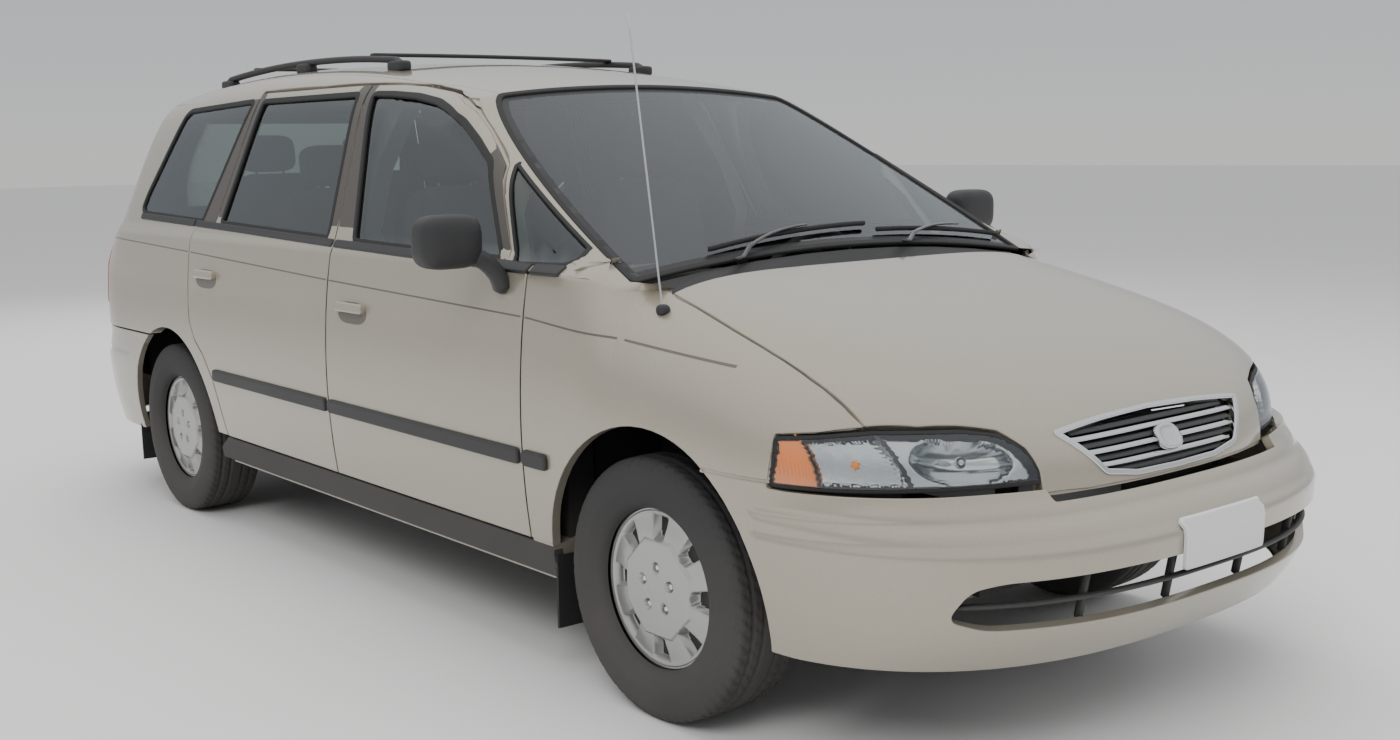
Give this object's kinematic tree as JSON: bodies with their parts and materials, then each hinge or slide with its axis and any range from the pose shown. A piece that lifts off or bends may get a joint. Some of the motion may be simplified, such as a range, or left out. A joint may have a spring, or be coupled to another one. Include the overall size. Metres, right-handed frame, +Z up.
{
  "type": "family minivan",
  "caption": "Family minivan: closed steel body with hinged side doors, lifting hood and tailgate, glasshouse, seats, steering and road wheels.",
  "frame": {"origin": "on the ground, at the centre of the bounding box", "axes": "-Y towards the front of the car, +X towards its left side, +Z up"},
  "size_m": [2.1792, 4.76, 1.649],
  "materials": {
    "paint": "metallic satin gloss",
    "trim_black": "grained",
    "underside": "matt underseal",
    "chassis_steel": "satin",
    "cast": "rough",
    "engine_block": "cast",
    "exhaust_steel": "dull",
    "glass_clear": "clear, faint green tint",
    "lamp_clear": "clear fluted",
    "lamp_red": "glossy",
    "wheel_silver": "satin silver",
    "tyre": "matt",
    "interior_plastic": "grained",
    "seat_cloth": "woven",
    "rubber": "matt"
  },
  "bodies": {
    "body": {"underbody": "underside", "front_suspension": "chassis_steel", "rear_suspension": "chassis_steel", "engine": "engine_block", "fuel_tank": "trim_black", "exhaust": "exhaust_steel", "body_side_left": "paint", "body_side_right": "paint", "front_fenders": "paint", "roof": "paint", "cowl": "trim_black", "windscreen": "glass_clear", "side_glass": "glass_clear", "front_bumper": "paint", "rear_bumper": "paint", "headlamps": "lamp_clear", "tail_lamps": "lamp_red", "roof_rack": "trim_black", "dashboard": "interior_plastic", "front_seats": "seat_cloth", "middle_seats": "seat_cloth", "rear_seat": "seat_cloth", "mud_flaps": "rubber"},
    "left_knuckle": {"knuckle_left": "cast"},
    "right_knuckle": {"knuckle_right": "cast"},
    "steering_wheel": {"steering_wheel": "interior_plastic"},
    "hood": {"hood": "paint", "grille": "trim_black"},
    "tailgate": {"tailgate": "paint", "tailgate_glass": "glass_clear"},
    "fuel_door": {"fuel_door": "paint"},
    "front_left_wheel": {"wheel_front_left": "wheel_silver", "tyre_front_left": "tyre"},
    "front_left_door": {"front_door_left": "paint", "front_door_glass_left": "glass_clear", "mirror_left": "trim_black"},
    "front_right_wheel": {"wheel_front_right": "wheel_silver", "tyre_front_right": "tyre"},
    "front_right_door": {"front_door_right": "paint", "front_door_glass_right": "glass_clear", "mirror_right": "trim_black"},
    "rear_left_wheel": {"wheel_rear_left": "wheel_silver", "tyre_rear_left": "tyre"},
    "rear_left_door": {"rear_door_left": "paint", "rear_door_glass_left": "glass_clear"},
    "rear_right_wheel": {"wheel_rear_right": "wheel_silver", "tyre_rear_right": "tyre"},
    "rear_right_door": {"rear_door_right": "paint", "rear_door_glass_right": "glass_clear"}
  },
  "joints": [
    {"name": "steer_left", "type": "hinge", "parent": "body", "child": "left_knuckle", "pos_m": [0.69, -1.45, 0.316], "axis": [0, 0, 1], "range_deg": [-34, 34]},
    {"name": "steer_right", "type": "hinge", "parent": "body", "child": "right_knuckle", "pos_m": [-0.69, -1.45, 0.316], "axis": [0, 0, 1], "range_deg": [-34, 34]},
    {"name": "steering", "type": "hinge", "parent": "body", "child": "steering_wheel", "pos_m": [0.37, -0.7, 0.9], "axis": [0, 0.891, 0.454], "range_deg": [-545, 545]},
    {"name": "spin_front_left", "type": "hinge", "parent": "left_knuckle", "child": "front_left_wheel", "pos_m": [0.764, -1.45, 0.316], "axis": [1, 0, 0], "continuous": true},
    {"name": "spin_front_right", "type": "hinge", "parent": "right_knuckle", "child": "front_right_wheel", "pos_m": [-0.764, -1.45, 0.316], "axis": [1, 0, 0], "continuous": true},
    {"name": "spin_rear_left", "type": "hinge", "parent": "body", "child": "rear_left_wheel", "pos_m": [0.764, 1.38, 0.316], "axis": [1, 0, 0], "continuous": true},
    {"name": "spin_rear_right", "type": "hinge", "parent": "body", "child": "rear_right_wheel", "pos_m": [-0.764, 1.38, 0.316], "axis": [1, 0, 0], "continuous": true},
    {"name": "open_front_left_door", "type": "hinge", "parent": "body", "child": "front_left_door", "pos_m": [0.89, -0.969, 0.66], "axis": [0.0436, 0, -0.999], "range_deg": [0, 65]},
    {"name": "open_rear_left_door", "type": "hinge", "parent": "body", "child": "rear_left_door", "pos_m": [0.89, 0.089, 0.66], "axis": [0.0436, 0, -0.999], "range_deg": [0, 68]},
    {"name": "open_front_right_door", "type": "hinge", "parent": "body", "child": "front_right_door", "pos_m": [-0.89, -0.969, 0.66], "axis": [0.0436, 0, 0.999], "range_deg": [0, 65]},
    {"name": "open_rear_right_door", "type": "hinge", "parent": "body", "child": "rear_right_door", "pos_m": [-0.89, 0.089, 0.66], "axis": [0.0436, 0, 0.999], "range_deg": [0, 68]},
    {"name": "open_hood", "type": "hinge", "parent": "body", "child": "hood", "pos_m": [0, -1.336, 1.032], "axis": [-1, 0, 0], "range_deg": [0, 55]},
    {"name": "open_tailgate", "type": "hinge", "parent": "body", "child": "tailgate", "pos_m": [0, 1.9, 1.556], "axis": [1, 0, 0], "range_deg": [0, 85]},
    {"name": "open_fuel_door", "type": "hinge", "parent": "body", "child": "fuel_door", "pos_m": [0.888, 1.566, 0.865], "axis": [0, 0, -1], "range_deg": [0, 95]}
  ],
  "couplings": [
    {"joint": "steer_right", "follows": "steer_left", "ratio": 1},
    {"joint": "steering", "follows": "steer_left", "ratio": 16}
  ]
}
